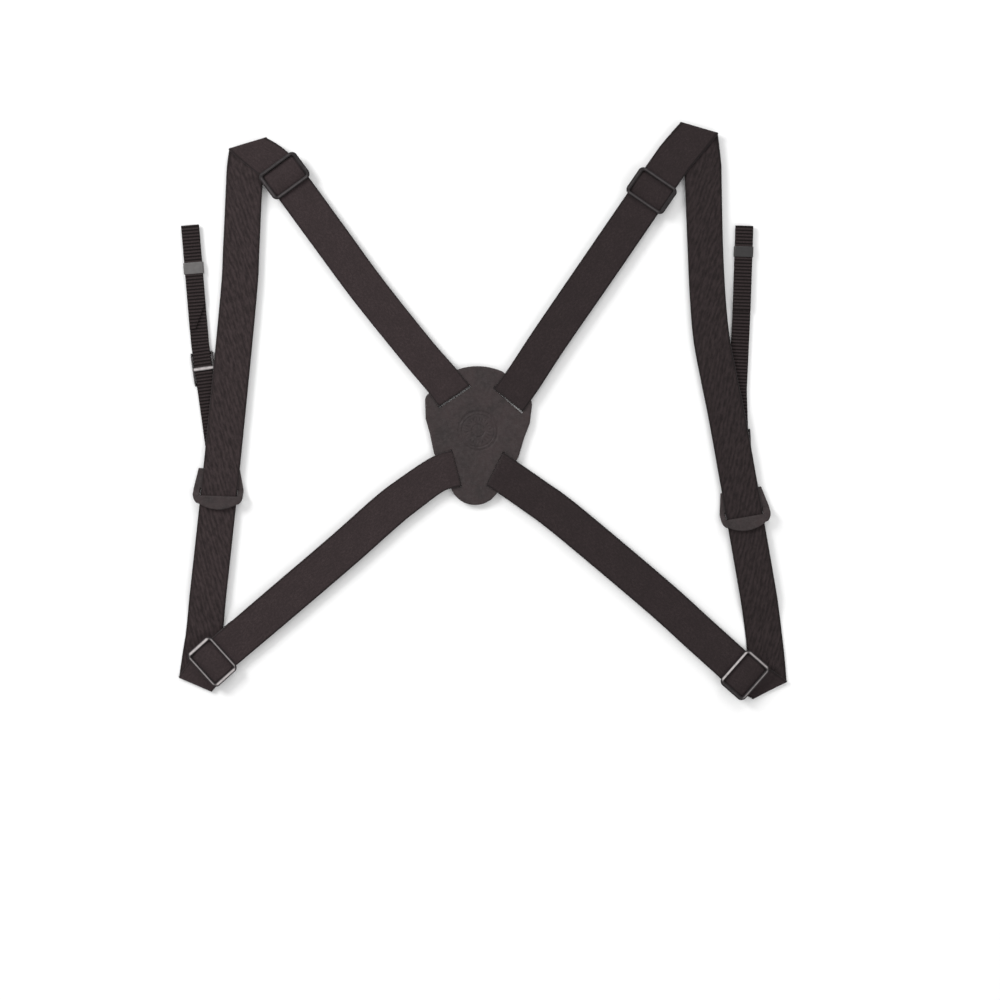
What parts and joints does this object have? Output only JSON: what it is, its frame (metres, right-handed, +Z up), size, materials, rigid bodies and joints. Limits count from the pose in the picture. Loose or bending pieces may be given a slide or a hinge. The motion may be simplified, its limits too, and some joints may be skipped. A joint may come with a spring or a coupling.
{
  "type": "binocular harness",
  "caption": "Crossed elastic strap harness with a leather back yoke, strap sliders, sliding leather connector tabs and narrow webbing loops that hold a binocular.",
  "frame": {"origin": "middle of the laid-out outline, on the surface it lies on", "axes": "+Z up out of the outer face, +X across the back to the wearer's right loop as laid out, +Y to the shoulder end"},
  "size_m": [0.4072, 0.386, 0.007],
  "materials": {
    "leather": "matte fine grain",
    "elastic": "matte knitted elastic",
    "elastic_ribbed": "matte ribbed reverse of the elastic",
    "narrow_webbing": "ribbed woven webbing",
    "thread": "matte thread",
    "slider_metal": "dark satin",
    "slider_metal_bright": "dark satin with bright worn edges",
    "keeper_light": "glossy dark plastic in a highlight",
    "keeper_dark": "glossy dark plastic"
  },
  "bodies": {
    "yoke_group": {"yoke": "leather", "over_upper_left": "elastic", "over_upper_right": "elastic", "over_lower_left": "elastic", "over_lower_right": "elastic", "through_upper_left": "elastic", "through_upper_right": "elastic", "through_lower_left": "elastic", "through_lower_right": "elastic", "under_upper_left": "elastic", "under_upper_right": "elastic", "under_lower_left": "elastic", "under_lower_right": "elastic"},
    "wing_left": {"strap_upper_left": "elastic", "strap_lower_left": "elastic", "strap_front_left": "elastic_ribbed", "fold_upper_left": "elastic", "fold_lower_left": "elastic", "return_upper_left": "elastic", "return_lower_left": "elastic"},
    "wing_right": {"strap_upper_right": "elastic", "strap_lower_right": "elastic", "strap_front_right": "elastic_ribbed", "fold_upper_right": "elastic", "fold_lower_right": "elastic", "return_upper_right": "elastic", "return_lower_right": "elastic"},
    "slider_upper_left": {"slider_upper_left": "slider_metal", "anchor_upper_left": "elastic", "stitch_upper_left": "thread"},
    "slider_upper_right": {"slider_upper_right": "slider_metal", "anchor_upper_right": "elastic", "stitch_upper_right": "thread"},
    "slider_lower_left": {"slider_lower_left": "slider_metal_bright", "anchor_lower_left": "elastic", "stitch_lower_left": "thread"},
    "slider_lower_right": {"slider_lower_right": "slider_metal_bright", "anchor_lower_right": "elastic", "stitch_lower_right": "thread"},
    "tab_left": {"tab_left": "leather", "tab_web_left": "narrow_webbing", "tab_stitch_left": "thread"},
    "web_slide_left": {"web_slide_left": "slider_metal_bright"},
    "lug_left": {"lug_back_left": "narrow_webbing", "lug_fold_left": "narrow_webbing", "lug_tail_left": "narrow_webbing"},
    "keeper_left": {"keeper_left": "keeper_light"},
    "tab_right": {"tab_right": "leather", "tab_web_right": "narrow_webbing", "tab_stitch_right": "thread"},
    "web_slide_right": {"web_slide_right": "slider_metal_bright"},
    "lug_right": {"lug_back_right": "narrow_webbing", "lug_fold_right": "narrow_webbing", "lug_tail_right": "narrow_webbing"},
    "keeper_right": {"keeper_right": "keeper_dark"}
  },
  "joints": [
    {"name": "wing_left_fold", "type": "hinge", "parent": "yoke_group", "child": "wing_left", "pos_m": [-0.04, 0, 0.0053], "axis": [0, 1, 0], "range_deg": [0, 80]},
    {"name": "wing_right_fold", "type": "hinge", "parent": "yoke_group", "child": "wing_right", "pos_m": [0.035, 0, 0.0053], "axis": [0, -1, 0], "range_deg": [0, 80]},
    {"name": "slider_upper_left_slide", "type": "slide", "parent": "wing_left", "child": "slider_upper_left", "axis": [0.592, -0.8059, 0], "range_m": [0, 0.075], "deforming": ["return_upper_left"]},
    {"name": "slider_upper_right_slide", "type": "slide", "parent": "wing_right", "child": "slider_upper_right", "axis": [-0.565, -0.8251, 0], "range_m": [0, 0.08], "deforming": ["return_upper_right"]},
    {"name": "slider_lower_left_slide", "type": "slide", "parent": "wing_left", "child": "slider_lower_left", "axis": [0.7593, 0.6508, 0], "range_m": [0, 0.08], "deforming": ["return_lower_left"]},
    {"name": "slider_lower_right_slide", "type": "slide", "parent": "wing_right", "child": "slider_lower_right", "axis": [-0.7431, 0.6691, 0], "range_m": [0, 0.08], "deforming": ["return_lower_right"]},
    {"name": "tab_left_slide", "type": "slide", "parent": "wing_left", "child": "tab_left", "axis": [0.1011, 0.9949, 0], "range_m": [-0.055, 0.1]},
    {"name": "tab_right_slide", "type": "slide", "parent": "wing_right", "child": "tab_right", "axis": [-0.1702, 0.9854, 0], "range_m": [-0.04, 0.03]},
    {"name": "web_slide_left_slide", "type": "slide", "parent": "tab_left", "child": "web_slide_left", "axis": [-0.1384, 0.9904, 0], "range_m": [-0.03, 0.003]},
    {"name": "web_slide_right_slide", "type": "slide", "parent": "tab_right", "child": "web_slide_right", "axis": [-0.0338, 0.9994, 0], "range_m": [-0.005, 0.024]},
    {"name": "lug_left_lift", "type": "hinge", "parent": "tab_left", "child": "lug_left", "pos_m": [-0.1891, 0.046, 0.00185], "axis": [0.9965, 0.0837, 0], "range_deg": [0, 80]},
    {"name": "lug_right_lift", "type": "hinge", "parent": "tab_right", "child": "lug_right", "pos_m": [0.1726, 0.062, 0.00185], "axis": [0.9994, -0.0337, 0], "range_deg": [0, 80]},
    {"name": "keeper_left_slide", "type": "slide", "parent": "lug_left", "child": "keeper_left", "axis": [-0.0837, 0.9965, 0], "range_m": [-0.032, 0.022]},
    {"name": "keeper_right_slide", "type": "slide", "parent": "lug_right", "child": "keeper_right", "axis": [0.0337, 0.9994, 0], "range_m": [-0.034, 0.012]}
  ]
}
